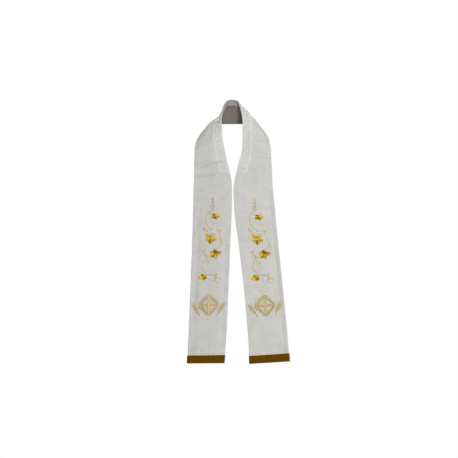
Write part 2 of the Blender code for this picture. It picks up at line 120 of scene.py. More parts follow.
# creases too fine for the solids
RIGHT_CREASES = [Fold(*row) for row in (
    ("valley_line", (308, 0.98), (302, 0.1), 6.4, 4.2),
    ("valley_fill", (278, 1.05), (289, 0.3), -3.0, 8),
    ("valley_brow", (301, 0.98), (296, 0.1), -4.0, 5.5),
    ("valley_rest", (319, 0.98), (312, 0.1), 2.8, 11),
    ("valley_lip", (332, 1.0), (320, 0.3), -2.6, 8),
    ("second_line", (349, 1.1), (350, 0.45), 5.0, 4.4),
    ("second_rest", (360, 1.1), (361, 0.45), 2.2, 11),
    ("upper_line", (264, 0.82), (268, 0.5), 3.2, 4.5),
    ("faint_1", (409, 0.95), (415, 0.58), 2.2, 5),
    ("faint_2", (457, 0.95), (447, 0.52), 2.6, 5),
    ("inner_1", (412, 0.28), (414, 0.03), 1.0, 5),
    ("pinch_line", (641, 0.24), (637, 0.04), 1.4, 5),
    ("inner_trough", (560, 0.12), (1060, 0.12), 1.5, 8),
    ("shoulder_1", (118, 0.9), (150, 0.35), 0.9, 5),
    ("chest_1", (304, 0.95), (309, 0.6), 1.0, 4),
    ("chest_2", (226, 0.9), (222, 0.62), 0.8, 5),
    ("chest_3", (352, 0.5), (349, 0.2), 0.6, 5),
    ("chest_4", (398, 0.95), (402, 0.7), 0.7, 6),
    ("waist_1", (560, 0.95), (566, 0.75), 0.5, 6),
    ("low_1", (820, 0.12), (826, 0.0), 0.6, 6),
    ("low_2", (930, 0.85), (940, 1.0), 0.6, 7),
    ("pucker_1", (1066, 0.66), (1094, 0.65), 1.7, 3.2),
    ("pucker_2", (1070, 0.48), (1094, 0.46), 1.5, 3.0),
    ("pucker_3", (1064, 0.34), (1094, 0.33), 1.9, 3.2),
    ("pucker_4", (1072, 0.2), (1094, 0.21), 1.4, 3.0),
    ("pucker_5", (1074, 0.86), (1094, 0.85), 1.2, 3.0),
)]
LEFT_CREASES = [Fold(*row) for row in (
    ("shoulder_line", (219, 0.3), (181, 0.98), 3.8, 5),
    ("shoulder_spot", (180, 1.0), (208, 0.78), 5.0, 8),
    ("collar_line", (284, 0.3), (258, 1.0), 3.6, 4.6),
    ("collar_brow", (278, 0.3), (252, 1.0), -2.2, 5),
    ("collar_fill", (258, 0.4), (234, 0.95), -2.0, 8),
    ("collar_rest", (294, 0.4), (268, 0.95), 2.6, 12),
    ("collar_short", (288, 0.34), (272, 0.52), 0.9, 4),
    ("inner_line", (396, 0.0), (384, 0.26), 2.4, 5),
    ("side_line", (280, 0.9), (1075, 0.87), 2.4, 7),
    ("shoulder_1", (126, 0.9), (166, 0.5), 0.8, 6),
    ("chest_1", (300, 0.5), (286, 0.8), 0.7, 6),
    ("chest_2", (334, 0.2), (340, 0.5), 0.6, 6),
    ("chest_3", (404, 0.9), (396, 0.7), 0.7, 6),
    ("waist_1", (620, 0.0), (628, 0.14), 0.8, 6),
    ("waist_2", (700, 0.1), (694, 0.0), 0.5, 6),
    ("low_1", (960, 0.0), (950, 0.12), 0.6, 7),
    ("pucker_1", (1064, 0.33), (1096, 0.2), 3.0, 4.2),
    ("pucker_2", (1076, 0.42), (1098, 0.44), 2.2, 3.6),
    ("pucker_3", (1058, 0.86), (1092, 0.7), 3.2, 4.4),
    ("pucker_4", (1080, 0.6), (1098, 0.58), 1.2, 3.0),
)]

# broad swells whose crests are pressed lines: start and end as above, the height out of the
# cloth, and how far it falls away up and down the strip
Swell = namedtuple("Swell", "name start end height above below")
RIGHT_SWELLS = [Swell(*row) for row in (
    ("shoulder", (208, 1.3), (222, 0.1), 5.0, 45, 50),
    ("chest", (350, 1.3), (352, 0.0), -3.0, 60, 70),
)]
LEFT_SWELLS = [Swell(*row) for row in (
    ("shoulder", (166, 1.3), (218, 0.1), 7.0, 45, 70),
    ("chest", (360, 1.3), (385, 0.1), -6.0, 80, 80),
)]

# the soft unevenness of hung cloth: height, length down and across the strip, share of the phase
Wave = namedtuple("Wave", "height down across phase")
SLACK_WAVES = (Wave(0.35, 47, 38, 1.0), Wave(0.28, 71, -29, 2.2), Wave(0.14, 17, 61, 0.7),
               Wave(0.10, 11, -23, 3.1))
SLACK_PHASE = {"right": 1.3, "left": 4.1}
FULL_WIDTH = 160                            # of the hanging strip
NECK_EDGE = 460                             # length of the strip whose inner edge is measured

# ---------------------------------------------------------------- the strips
def travel(points):
    """The distance run at each point of a path."""
    return np.concatenate([[0.0], np.cumsum(np.linalg.norm(np.diff(points, axis=0), axis=1))])


def curve(at, values, x, mirror):
    """Smooth curve through rows of values; a mirrored row stands before the nape."""
    ghost = values[1] * np.array(mirror)
    at = np.concatenate([[-at[1]], at])
    values = np.vstack([ghost, values])
    gap = np.diff(at)
    step = np.diff(values, axis=0) / gap[:, None]
    slope = np.empty_like(values)
    slope[0], slope[-1] = step[0], step[-1]
    near, far = gap[:-1, None], gap[1:, None]
    slope[1:-1] = (step[:-1] * far + step[1:] * near) / (near + far)
    k = np.clip(np.searchsorted(at, x, side="left") - 1, 0, len(gap) - 1)
    h = gap[k][:, None]
    t = ((x - at[k])[:, None]) / h
    return (values[k] * (2 * t**3 - 3 * t**2 + 1) + slope[k] * h * (t**3 - 2 * t**2 + t)
            + values[k + 1] * (3 * t**2 - 2 * t**3) + slope[k + 1] * h * (t**3 - t**2))


class Strip:
    """One half of the stole as a smooth surface with its folds pressed in."""

    def __init__(self, name, side, sections, folds, creases, swells):
        self.name = name
        self.side = side
        self.folds = folds
        self.creases = creases
        self.swells = swells
        inner = np.array([s.inner for s in sections], float)
        outer = np.array([s.outer for s in sections], float)
        inner[0, 0] = outer[0, 0] = side * SEAM_GAP / 2
        self.table = np.hstack([inner, outer, [[s.bow, s.roll] for s in sections]])
        self.stations = travel((inner + outer) / 2)
        self.length = float(self.stations[-1])
        self.edge_u = np.linspace(0, NECK_EDGE, 2 * NECK_EDGE + 1)
        self.edge_s = travel(self.base(self.edge_u, 0 * self.edge_u)[0])

    def section(self, u):
        row = curve(self.stations, self.table, u, (-1, 1, 1, -1, 1, 1, 1, 1))
        return row[:, 0:3], row[:, 3:6], row[:, 6], row[:, 7]

    def width(self, u):
        u = np.atleast_1d(np.asarray(u, float))
        inner, outer, _, _ = self.section(u)
        return np.linalg.norm(outer - inner, axis=1)

    def pressed(self, u, v):
        width = self.width(u)
        depth = np.zeros_like(u)
        for fold in self.folds + self.creases:
            ax, ay = fold.start[0], fold.start[1] * width
            bx, by = fold.end[0] - fold.start[0], fold.end[1] * width - ay
            px, py = u - ax, v * width - ay
            share = np.clip((px * bx + py * by) / (bx**2 + by**2), 0, 1)
            away = np.hypot(px - share * bx, py - share * by)
            fade = np.sin(math.pi * (0.15 + 0.7 * share))
            depth += fold.depth * fade * np.exp(-(away / fold.half_width) ** 2)
        for swell in self.swells:
            share = (v - swell.start[1]) / (swell.end[1] - swell.start[1])
            away = u - swell.start[0] - (swell.end[0] - swell.start[0]) * share
            reach = np.where(away < 0, swell.above, swell.below)
            ends = np.clip(np.minimum(share, 1 - share) / 0.25, 0, 1)
            fall = np.exp(-(np.hypot(away, 3) - 3) / reach)
            depth -= swell.height * fall * ends**2 * (3 - 2 * ends)
        return depth

    def slack(self, u, v):
        """The soft unevenness of hung cloth: long low waves that fade at the nape and the hem."""
        across = v * FULL_WIDTH
        fade = np.clip((u - 40) / 160, 0, 1) * np.clip((self.length - u) / 60, 0.3, 1)
        phase = SLACK_PHASE[self.name]
        return fade * sum(w.height * np.sin(u / w.down + across / w.across + w.phase * phase)
                          for w in SLACK_WAVES)

    def base(self, u, v):
        """Points in millimetres and the direction out of the section."""
        inner, outer, bow, roll = self.section(u)
        ahead = self.section(u + 1)
        behind = self.section(u - 1)
        along = ahead[0] + ahead[1] - behind[0] - behind[1]
        out = np.cross(along, outer - inner) * self.side
        out /= np.linalg.norm(out, axis=1)[:, None]
        lift = 4 * v * (1 - v) * bow - np.sin(2 * math.pi * v) * roll
        lift = lift - self.pressed(u, v) + self.slack(u, v)
        seam = 0.3 * np.exp(-(u / 2.0) ** 2)
        point = inner + (outer - inner) * v[:, None] + out * (lift - seam)[:, None]
        return point, out

    def normal(self, u, v):
        step = 1.0
        along = self.base(u + step, v)[0] - self.base(u - step, v)[0]
        share = step / self.width(u)
        across = self.base(u, v + share)[0] - self.base(u, v - share)[0]
        out = np.cross(along, across) * self.side
        return out / np.linalg.norm(out, axis=1)[:, None]

    def lay(self, u, v, lift=0.0):
        """Points in metres at (u, v), lifted out of the cloth's outer face."""
        u, v, lift = np.broadcast_arrays(*(np.asarray(a, float) for a in (u, v, lift)))
        shape = u.shape
        u, v, lift = u.ravel(), v.ravel(), lift.ravel()
        point = self.base(u, v)[0] + self.normal(u, v) * lift[:, None]
        return (point * MM).reshape(shape + (3,))

    def place(self, down, across, x, y, lift=0.0):
        """Points of a pattern: x to +X and y up from a centre on the strip."""
        u = down - np.asarray(y, float)
        width = self.width(u.ravel()).reshape(u.shape)
        v = 0.5 + self.side * (across + np.asarray(x, float)) / width
        return self.lay(u, v, lift)

    def down_edge(self, s):
        return np.interp(s, self.edge_s, self.edge_u)


STRIPS = {
    "right": Strip("right", -1, RIGHT_SECTIONS, RIGHT_FOLDS, RIGHT_CREASES, RIGHT_SWELLS),
    "left": Strip("left", 1, LEFT_SECTIONS, LEFT_FOLDS, LEFT_CREASES, LEFT_SWELLS),
}


# ---------------------------------------------------------------- mesh helpers
BACKWARD = [0, 3, 2, 1]                     # a quad's corners the other way round


def piece(name, points, faces, materials, tags, uv):
    """A smooth mesh object; tags gives each face's material, uv each point's (across, down)."""
    mesh = bpy.data.meshes.new(name)
    mesh.from_pydata([tuple(p) for p in points], [], [tuple(int(i) for i in f) for f in faces])
    for finish in materials:
        mesh.materials.append(finish)
    mesh.polygons.foreach_set("material_index", np.asarray(tags, np.int32))
    layer = mesh.uv_layers.new(name="cloth")
    corners = np.empty(len(mesh.loops), np.int32)
    mesh.loops.foreach_get("vertex_index", corners)
    layer.data.foreach_set("uv", np.asarray(uv, np.float32)[corners].ravel())
    mesh.validate()
    mesh.shade_smooth()
    made = bpy.data.objects.new(name, mesh)
    bpy.context.scene.collection.objects.link(made)
    return made


def dress(made, slot, *nodes):
    """Ties a piece to the one body and hides the solids that it stands for; slot is not used."""
    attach(made, "root")
    if nodes:
        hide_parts(*nodes)
    return made


def grid(rows, columns, wrap=False, close=False):
    """Quads of a grid of points; wrap joins the last column to the first, close the rows."""
    i, j = np.meshgrid(np.arange(rows if close else rows - 1),
                       np.arange(columns if wrap else columns - 1), indexing="ij")
    m, k = (i + 1) % rows, (j + 1) % columns
    quads = np.stack([i * columns + j, m * columns + j, m * columns + k, i * columns + k], -1)
    return quads.reshape(-1, 4)


def spread(start, stop, step):
    return np.linspace(start, stop, max(2, int(round(abs(stop - start) / step)) + 1))


def pairs(x, y):
    """Points from x and y, which are first spread to one shape."""
    return np.stack(np.broadcast_arrays(x, y), -1)


def polar(radius, degrees):
    turn = np.radians(degrees)
    return pairs(radius * np.cos(turn), radius * np.sin(turn))


# ---------------------------------------------------------------- materials
def linear(rgb):
    return [((c / 255 + 0.055) / 1.055) ** 2.4 for c in rgb] + [1.0]


class Finish:
    """A node material with a few helpers for building procedural cloth."""

    def __init__(self, name, rgb, roughness, metallic=0.0, sheen=0.0, specular=0.5):
        self.material = bpy.data.materials.new(name)
        self.material.use_nodes = True
        self.tree = self.material.node_tree
        self.shader = self.tree.nodes["Principled BSDF"]
        self.shader.inputs["Base Color"].default_value = linear(rgb)
        self.shader.inputs["Roughness"].default_value = roughness
        self.shader.inputs["Metallic"].default_value = metallic
        self.shader.inputs["Sheen Weight"].default_value = sheen
        self.shader.inputs["Specular IOR Level"].default_value = specular

    def node(self, kind, links=None, **values):
        made = self.tree.nodes.new(kind)
        for key, value in values.items():
            setattr(made, key, value)
        for socket, source in (links or {}).items():
            if isinstance(source, (int, float, tuple, list)):
                made.inputs[socket].default_value = source
            else:
                self.tree.links.new(source, made.inputs[socket])
        return made

    def coordinates(self, scale):
        """Millimetres along the cloth, stretched by scale."""
        start = self.node("ShaderNodeUVMap", uv_map="cloth").outputs["UV"]
        return self.node("ShaderNodeMapping", {"Vector": start, "Scale": scale}).outputs["Vector"]

    def noise(self, scale, detail):
        return self.node("ShaderNodeTexNoise", {"Vector": self.coordinates(scale), "Scale": 1.0,
                                                "Detail": detail,
                                                "Roughness": 0.55}).outputs["Fac"]

    def wave(self, scale, distortion, detail_scale, direction):
        return self.node("ShaderNodeTexWave", {"Vector": self.coordinates(scale), "Scale": 1.0,
                                               "Distortion": distortion, "Detail": 2.0,
                                               "Detail Scale": detail_scale},
                         bands_direction=direction).outputs["Fac"]

    def sum(self, *weighted):
        """Sum of (value, weight) pairs."""
        total = 0.0
        for value, weight in weighted:
            total = self.node("ShaderNodeMath", {0: value, 1: weight, 2: total},
                              operation="MULTIPLY_ADD").outputs["Value"]
        return total

    def ramp(self, value, *stops):
        ramp = self.node("ShaderNodeValToRGB", {"Fac": value})
        elements = ramp.color_ramp.elements
        while len(elements) < len(stops):
            elements.new(0.5)
        for element, (place, rgb) in zip(elements, stops):
            element.position = place
            element.color = linear(rgb)
        self.tree.links.new(ramp.outputs["Color"], self.shader.inputs["Base Color"])

    def bump(self, height, distance, strength):
        bump = self.node("ShaderNodeBump", {"Height": height, "Distance": distance,
                                            "Strength": strength})
        self.tree.links.new(bump.outputs["Normal"], self.shader.inputs["Normal"])

    def roughen(self, value, low, high):
        spread_out = self.node("ShaderNodeMapRange", {"Value": value, "To Min": low,
                                                      "To Max": high})
        self.tree.links.new(spread_out.outputs["Result"], self.shader.inputs["Roughness"])


STITCH_PITCH = 0.55                         # between the ridges of satin stitch
NET_CELL = 2.2


def woven(name, dark, middle, light, roughness, slub=1.0, sheen=0.15):
    """Plain weave with thick-and-thin slubs along both yarns."""
    made = Finish(name, middle, roughness, sheen=sheen, specular=0.3)
    cross_slub = made.noise((0.035, 0.75, 1), 4.0)
    down_slub = made.noise((0.9, 0.05, 1), 3.0)
    cloud = made.noise((0.02, 0.02, 1), 2.0)
    weft = made.wave((0.0, 0.9, 0), 1.2, 2.0, "Y")
    warp = made.wave((0.9, 0.0, 0), 1.2, 2.0, "X")
    tone = made.sum((cross_slub, 0.5), (down_slub, 0.2), (cloud, 0.3))
    made.ramp(tone, (0.36, dark), (0.5, middle), (0.64, light))
    height = made.sum((cross_slub, 0.9 * slub), (down_slub, 0.35 * slub), (weft, 0.22),
                      (warp, 0.18))
    made.bump(height, 0.0006, 0.8)
    made.roughen(cross_slub, roughness - 0.12, roughness + 0.12)
    return made.material


def stitched(name, dark, middle, light, roughness, metallic):
    """Satin stitch in metallic thread: fine ridges along the UV's x, glints and colour drift, with
    painted highlight and shade on the ridges and painted glints in the colour.
    """
    made = Finish(name, middle, roughness, metallic, specular=0.6)
    ridge = made.wave((0.16 / STITCH_PITCH, 0.0, 0), 0.6, 1.0, "X")
    drift = made.noise((0.35, 0.35, 1), 3.0)
    glint = made.noise((2.2, 0.25, 1), 2.0)
    # ridges and glints paint highlight and shade into the colour; drift is random tone
    tone = made.sum((ridge, 0.35), (drift, 0.35), (glint, 0.3))
    made.ramp(tone, (0.25, dark), (0.5, middle), (0.75, light))
    made.bump(made.sum((ridge, 0.8), (glint, 0.3)), 0.0004, 0.9)
    made.roughen(glint, roughness - 0.12, roughness + 0.15)
    return made.material


def velvet(name, dark, middle, light):
    """Short dense pile, lighter in patches as painted sheen of its nap."""
    made = Finish(name, middle, 0.8, 0.0, sheen=0.14, specular=0.04)
    made.shader.inputs["Sheen Roughness"].default_value = 0.35
    made.shader.inputs["Sheen Tint"].default_value = linear((214, 158, 30))
    pile = made.noise((2.6, 2.6, 1), 4.0)
    # patches of painted sheen over the nap
    painted_nap_sheen = made.noise((0.3, 0.5, 1), 3.0)
    made.ramp(made.sum((pile, 0.35), (painted_nap_sheen, 0.65)), (0.36, dark), (0.5, middle), (0.64, light))
    made.bump(pile, 0.0006, 0.7)
    return made.material


def netted(name, dark, middle, light):
    """Knotted net: a fine cell pattern, deeper between its threads, with painted shade in the
    cells.
    """
    made = Finish(name, middle, 0.8, sheen=0.1, specular=0.25)
    cells = made.node("ShaderNodeTexVoronoi", {"Vector": made.coordinates((1, 1, 1)),
                                               "Scale": 1 / NET_CELL, "Randomness": 0.3},
                      feature="DISTANCE_TO_EDGE", voronoi_dimensions="2D")
    hollow = cells.outputs["Distance"]
    cloud = made.noise((0.05, 0.05, 1), 3.0)
    # threads light, cells dark: painted shade in the net's hollows
    made.ramp(made.sum((hollow, 1.6), (cloud, 0.2)), (0.1, light), (0.4, middle), (0.8, dark))
    made.bump(made.sum((hollow, -1.0)), 0.0008, 0.7)
    return made.material


WHITE = woven("white_cloth", (205, 203, 197), (219, 218, 213), (228, 227, 223), 0.72)
# taupe lining whose darkness is partly its own colour and partly painted shade for the hollow
# inside the neck
LINING_WITH_PAINTED_SHADE = woven("lining", (119, 112, 101), (129, 122, 112), (139, 132, 122), 0.5, 0.5, sheen=0.7)
LACE_WHITE = netted("white_lace", (202, 201, 197), (220, 219, 215), (232, 231, 228))
# net over the lining, greyed partly by the lining showing through and partly as painted shade
LACE_PAINTED_SHADE = netted("lace_over_lining", (134, 131, 126), (166, 164, 160), (184, 182, 178))
LACE_CORD = woven("lace_cord", (240, 239, 236), (249, 248, 246), (253, 252, 251), 0.65, 0.5)
# the inner lace cord, greyed as painted shade
CORD_PAINTED_SHADE = woven("cord_over_lining", (150, 148, 144), (172, 170, 166), (186, 184, 180), 0.65,
                   0.5)
OUTLINE = stitched("leaf_outline", (212, 188, 118), (234, 214, 152), (247, 234, 190), 0.45, 0.2)
GOLD = stitched("gold_thread", (176, 126, 1), (220, 170, 10), (250, 210, 46), 0.4, 0.25)
# lit and shaded copies of the gold thread for the leaf lobes: painted sheen and painted shade
GOLD_PAINTED_SHEEN = stitched("gold_light", (218, 170, 10), (250, 210, 32), (255, 234, 84), 0.38, 0.2)
GOLD_PAINTED_SHADE = stitched("gold_dark", (90, 61, 0), (137, 97, 1), (176, 130, 4), 0.44, 0.25)
PALE_GOLD = stitched("pale_gold", (204, 176, 104), (230, 206, 142), (248, 232, 180), 0.4, 0.2)
PALE_DARK = stitched("pale_gold_edge", (148, 120, 40), (184, 154, 66), (214, 186, 100), 0.45, 0.25)
PALE_TINT = woven("pale_ground", (206, 198, 176), (216, 209, 188), (224, 218, 200), 0.7, slub=0.4)
STEM = stitched("vine_thread", (198, 174, 84), (232, 210, 116), (250, 234, 158), 0.45, 0.1)
STEM_DARK = stitched("vine_dark", (178, 154, 56), (214, 190, 94), (238, 216, 136), 0.45, 0.1)
BROWN = velvet("gold_brown_band", (68, 44, 0), (98, 66, 0), (142, 102, 8))
PALE_LINE = stitched("band_edging", (222, 208, 172), (240, 229, 198), (250, 243, 222), 0.6, 0.05)


# ---------------------------------------------------------------- cloth halves
CLOTH_COLUMNS = 50
EDGE_TURN = np.radians((30, 60, 90, 120, 150))      # round the cloth's edges


def make_half(strip):
    """A closed wall of cloth with round edges, the lining on its inner side."""
    u = np.concatenate([spread(0, 400, 3.0), spread(400, 1050, 4.5)[1:],
                        spread(1050, strip.length, 2.5)[1:]])
    half, count = CLOTH / 2, CLOTH_COLUMNS
    width = strip.width(u)[:, None]
    low, high = half / width, 1 - half / width
    outer = low + (high - low) * np.linspace(0, 1, count + 1)
    near = low - half * np.sin(EDGE_TURN)[::-1] / width
    far = high + half * np.sin(EDGE_TURN) / width
    v = np.hstack([outer, far, outer[:, ::-1], near])
    rise = np.concatenate([np.full(count + 1, half), half * np.cos(EDGE_TURN),
                           np.full(count + 1, -half), -half * np.cos(EDGE_TURN)])
    points = strip.lay(u[:, None], v, rise - half).reshape(-1, 3)
    rows, columns = v.shape
    middle = rows // 2
    outward = strip.normal(u[middle:middle + 1], outer[middle, :1])[0]
    a, b, c = (points[middle * columns + step] for step in (0, columns, 1))
    flip = np.dot(np.cross(b - a, c - a), outward) < 0
    quads = grid(rows, columns, wrap=True)
    faces = list(quads[:, ::-1] if flip else quads)
    column = np.tile(np.arange(columns), rows - 1)
    # faces of the inner side take the lining, darkened partly as painted shade
    tags = list(((column >= count + 3) & (column < 2 * count + 6)).astype(int))
    for row, forward in ((0, flip), (rows - 1, not flip)):
        ring = row * columns + np.arange(columns)
        rungs = [(ring[i], ring[(2 * count + 6 - i) % columns]) for i in range(-2, count + 4)]
        for (p, q), (r, s) in zip(rungs, rungs[1:]):
            cap = list(dict.fromkeys([p, r, s, q] if forward else [q, s, r, p]))
            if len(cap) > 2:
                faces.append(cap)
                tags.append(0)
    uv = pairs(v * width, u[:, None]).reshape(-1, 2)
    made = piece(f"cloth_{strip.name}", points, faces, [WHITE, LINING_WITH_PAINTED_SHADE], tags, uv)
    return dress(made, "white_cloth", f"half_{strip.name}")


# ---------------------------------------------------------------- closed shapes laid on the cloth
UNDERSIDE = 0.1                             # of what lies on the cloth, over its face
BEAD_PITCH = 3.4
PATH_STEP = 1.2


class Shapes:
    """Collects closed shapes into one piece, each point with its texture coordinates."""

    def __init__(self):
        self.points, self.faces, self.tags, self.uv = [], [], [], []

    def add(self, points, faces, tag, uv):
        """tag is one number or one for each face; uv is one pair for each point."""
        first = len(self.points)
        self.points += np.reshape(points, (-1, 3)).tolist()
        self.uv += np.reshape(uv, (-1, 2)).tolist()
        assert len(self.uv) == len(self.points)
        self.faces += [[first + i for i in face] for face in faces]
        self.tags += [int(t) for t in np.broadcast_to(tag, len(faces))]

    def make(self, name, materials, slot, *nodes):
        made = piece(name, self.points, self.faces, materials, self.tags, self.uv)
        return dress(made, slot, *nodes)


def smooth_path(points):
    """Even steps along a smooth curve through the points."""
    points = np.asarray(points, float)
    p = np.vstack([2 * points[:1] - points[1:2], points, 2 * points[-1:] - points[-2:-1]])
    parts = []
    t = np.linspace(0, 1, 24, endpoint=False)[:, None]
    for a, b, c, d in zip(p, p[1:], p[2:], p[3:]):
        parts.append(0.5 * (2 * b + (c - a) * t + (2 * a - 5 * b + 4 * c - d) * t**2
                            + (3 * b - a - 3 * c + d) * t**3))
    line = np.vstack(parts + [p[-2:-1]])
    run = travel(line)
    at = np.linspace(0, run[-1], max(4, int(round(run[-1] / PATH_STEP))))
    return pairs(np.interp(at, run, line[:, 0]), np.interp(at, run, line[:, 1]))


def cord(shapes, place, path, half_width, height, lift, tag=0, closed=False, sides=8,
         beads=0.0, taper=0.0):
    """A cord sewn down along a path, lying on the place function's surface.

    beads is how far it swells and thins along its twist, taper how much it thins to its end."""
    path = np.asarray(path, float)
    if closed:
        along = np.roll(path, -1, 0) - np.roll(path, 1, 0)
    else:
        along = np.gradient(path, axis=0)
    along /= np.maximum(np.linalg.norm(along, axis=1), 1e-6)[:, None]
    run = travel(path)
    swell = 1 + beads * np.sin(2 * math.pi * run / BEAD_PITCH)
    if not closed:
        end = np.minimum(run, run[-1] - run)
        swell = swell * np.sqrt(np.clip(0.15 + end / half_width, 0, 1))
        swell = swell * (1 - taper * run / run[-1])
    turn = 2 * math.pi * np.arange(sides) / sides
    off = half_width * swell[:, None] * np.cos(turn)
    x = path[:, :1] - along[:, 1:] * off
    y = path[:, 1:] + along[:, :1] * off
    rise = lift + height / 2 * swell[:, None] * np.sin(turn)
    rows = len(path)
    faces = grid(rows, sides, wrap=True, close=closed)[:, BACKWARD].tolist()
    if not closed:
        faces += [range(sides)[::-1], range((rows - 1) * sides, rows * sides)]
    twist = half_width * turn
    shapes.add(place(x, y, rise), faces, tag, pairs(run[:, None] + 0.6 * twist, twist))


def patch(shapes, place, rings, lifts, tags, uv):
    """A closed pad: rings of points from its rim to its middle point, over a flat underside.

    rings is (rows, columns, 2) in the pattern, with the middle as its last row."""
    rows, columns = rings.shape[:2]
    top = place(rings[..., 0], rings[..., 1], lifts)
    under = place(rings[0, :, 0], rings[0, :, 1], UNDERSIDE)
    middle = place(rings[-1, :1, 0], rings[-1, :1, 1], UNDERSIDE)
    points = np.vstack([top[:-1].reshape(-1, 3), top[-1, -1:], under, middle])
    last, centre = (rows - 2) * columns, (rows - 1) * columns
    low = centre + 1
    sides = [(j, (j + 1) % columns) for j in range(columns)]
    faces = grid(rows - 1, columns, wrap=True)[:, BACKWARD].tolist()
    faces += [(last + j, last + k, centre) for j, k in sides]
    faces += [(low + j, low + k, k, j) for j, k in sides]
    faces += [(low + k, low + j, low + columns) for j, k in sides]
    uv = np.vstack([uv[:-1].reshape(-1, 2), uv[-1, :1], uv[0], uv[-1, :1]])
    shapes.add(points, faces, np.tile(tags, rows + 1), uv)


def turned(points, degrees, centre=(0, 0)):
    points = np.asarray(points, float)
    cos, sin = math.cos(math.radians(degrees)), math.sin(math.radians(degrees))
    x, y = points[..., 0], points[..., 1]
    return pairs(centre[0] + x * cos - y * sin, centre[1] + x * sin + y * cos)


def oval(length, width, sides):
    a = 2 * math.pi * np.arange(sides) / sides
    return pairs(length / 2 * np.cos(a), width / 2 * np.sin(a))


# ---------------------------------------------------------------- hem bands
BAND_GAP, BAND_WALL, BAND_CROWN = 0.3, 1.3, 1.4
QUILT = 0.22                                # height of the ripples over the band's face
FRONT_EDGING = (1.7, 2.0, 1.0)              # half width, height and lift, as for cord()
BACK_EDGING = (1.0, 1.4, -CLOTH - 0.7)


def make_hem_band(strip):
    """A padded band folded round the hem, with a pale edging cord along its upper edge."""
    width = float(strip.width(strip.length)[0])
    overhang = BAND_OVERHANG / width
    legs = spread(BAND_HEIGHT, 0, 2.0)
    bends = np.radians(np.arange(15, 180, 15))

    def profile(lift, rounding):
        """Front leg down, round the hem and up the back: (up from the hem, lift) pairs."""
        radius = CLOTH / 2 + BAND_GAP + lift
        swell = BAND_CROWN * np.sin(math.pi * legs / BAND_HEIGHT) ** 0.7
        swell += 0.25 * np.sin(legs * 1.1)
        front = pairs(legs, BAND_GAP + lift + swell)
        bend = pairs(-radius * np.sin(bends), radius * np.cos(bends) - CLOTH / 2)
        back = pairs(legs[::-1], -CLOTH - BAND_GAP - lift)
        front[0, 0] -= rounding
        back[-1, 0] -= rounding
        return np.vstack([front, bend, back])

    outer, inner = profile(BAND_WALL, 0.35), profile(0.0, 0.0)[::-1]
    middle = profile(BAND_WALL / 2, -0.25)
    ring = np.vstack([outer, middle[-1:], inner, middle[:1]])
    v = np.concatenate([[-overhang, -overhang + 0.004], spread(0.012, 0.988, 0.02),
                        [1 + overhang - 0.004, 1 + overhang]])
    rows, columns, half = len(ring), len(v), len(outer)
    u, lift = strip.length - ring[:, :1], ring[:, 1:]
    tight = np.ones(columns)
    tight[[0, -1]] = 0.75
    core = BAND_GAP + BAND_WALL / 2
    lift = np.where(lift > -CLOTH / 2, core + (lift - core) * tight,
                    -CLOTH - core + (lift + CLOTH + core) * tight)
    quilt = QUILT * np.sin(v * FULL_WIDTH / 5.1 + u / 7.0)
    quilt = quilt * np.sin(math.pi * np.clip((strip.length - u) / BAND_HEIGHT, 0, 1))
    points = strip.lay(u, v, np.where(lift > BAND_GAP + 0.5, lift + quilt, lift))
    faces = grid(rows, columns, close=True).tolist()
    caps = [(i, 2 * half - i, 2 * half - 1 - i, i + 1) for i in range(half - 1)]
    for cap in caps + [(0, rows - 1, 2 * half), (half - 1, half + 1, half)]:
        faces.append([columns * i for i in cap])
        faces.append([columns * i + columns - 1 for i in cap[:1] + cap[:0:-1]])
    if strip.side < 0:
        faces = [f[::-1] for f in faces]
    shapes = Shapes()
    shapes.add(points, faces, 0, pairs(v * width, travel(ring)[:, None]))

    def place(x, y, rise):
        return strip.lay(strip.length - y, 0.5 + strip.side * x / width, rise)

    reach = width / 2 + BAND_OVERHANG - 0.5
    line = pairs(spread(-reach, reach, 2.0), BAND_HEIGHT + 0.2)
    cord(shapes, place, line, *FRONT_EDGING, tag=1, beads=0.08)
    cord(shapes, place, line, *BACK_EDGING, tag=1)
    return shapes.make(f"band_{strip.name}", [BROWN, PALE_LINE], "gold_brown_band",
                       f"hem_band_{strip.name}")


# ---------------------------------------------------------------- leaves
# tips: (direction, reach) of each lobe, from +X round to the left; notches: the reach between a
# tip and the next; tones of each lobe, on its further and its nearer side, as painted sheen and
# shade of the satin stitch: d painted shade, m middle, b painted highlight
Leaf = namedtuple("Leaf", "name down across tips notches tones")
LEAVES = (
    Leaf("leaf_1", 516, 14, ((-8, 19.5), (52, 15), (150, 16.5), (196, 19.5), (292, 13.5)),
         (13.5, 10.5, 14, 10, 12), "bm bb md dm md"),
    Leaf("leaf_2", 608, -3, ((-92, 22.5), (-8, 25), (40, 20), (142, 25), (192, 22)),
         (16, 18, 13, 19, 15), "md bm mb bm mb"),
    Leaf("leaf_3", 671, 17, ((9, 29), (92, 19.5), (160, 22), (215, 22), (290, 19.5)),
         (15, 15, 17, 14, 14), "dm dd bm db mm"),
    Leaf("leaf_4", 766, -29, ((188, 21.5), (300, 15), (345, 19), (390, 17), (470, 14)),
         (9, 14, 15, 11, 11.5), "bb dm md mm md"),
)
SHIFTS = {"right": 0.0, "left": 7.0}
# middle gold, painted highlight and painted shade for each side of a lobe
PAINTED_TONES = {"m": 0, "b": 1, "d": 2}


def pattern(strip, down, across):
    """A place function for a motif centred there on the strip."""
    return lambda x, y, lift: strip.place(down + SHIFTS[strip.name], across, x, y, lift)


LEAF_RINGS = np.array([[1.0], [0.97], [0.88], [0.74], [0.56], [0.36], [0.18], [0.0]])
SPOKES = 12                                 # from each tip to the next
STITCH_LEAN = 38                            # of the stitches to the lobe's vein
PAD_BASE, LEAF_HEIGHT = 0.35, 1.75
VEIN_DEPTH, VEIN_HALF, GULLY_DEPTH = 0.55, 0.9, 0.45
LEAF_CORD = (0.95, 1.5, 0.75)               # half width, height and lift, as for cord()


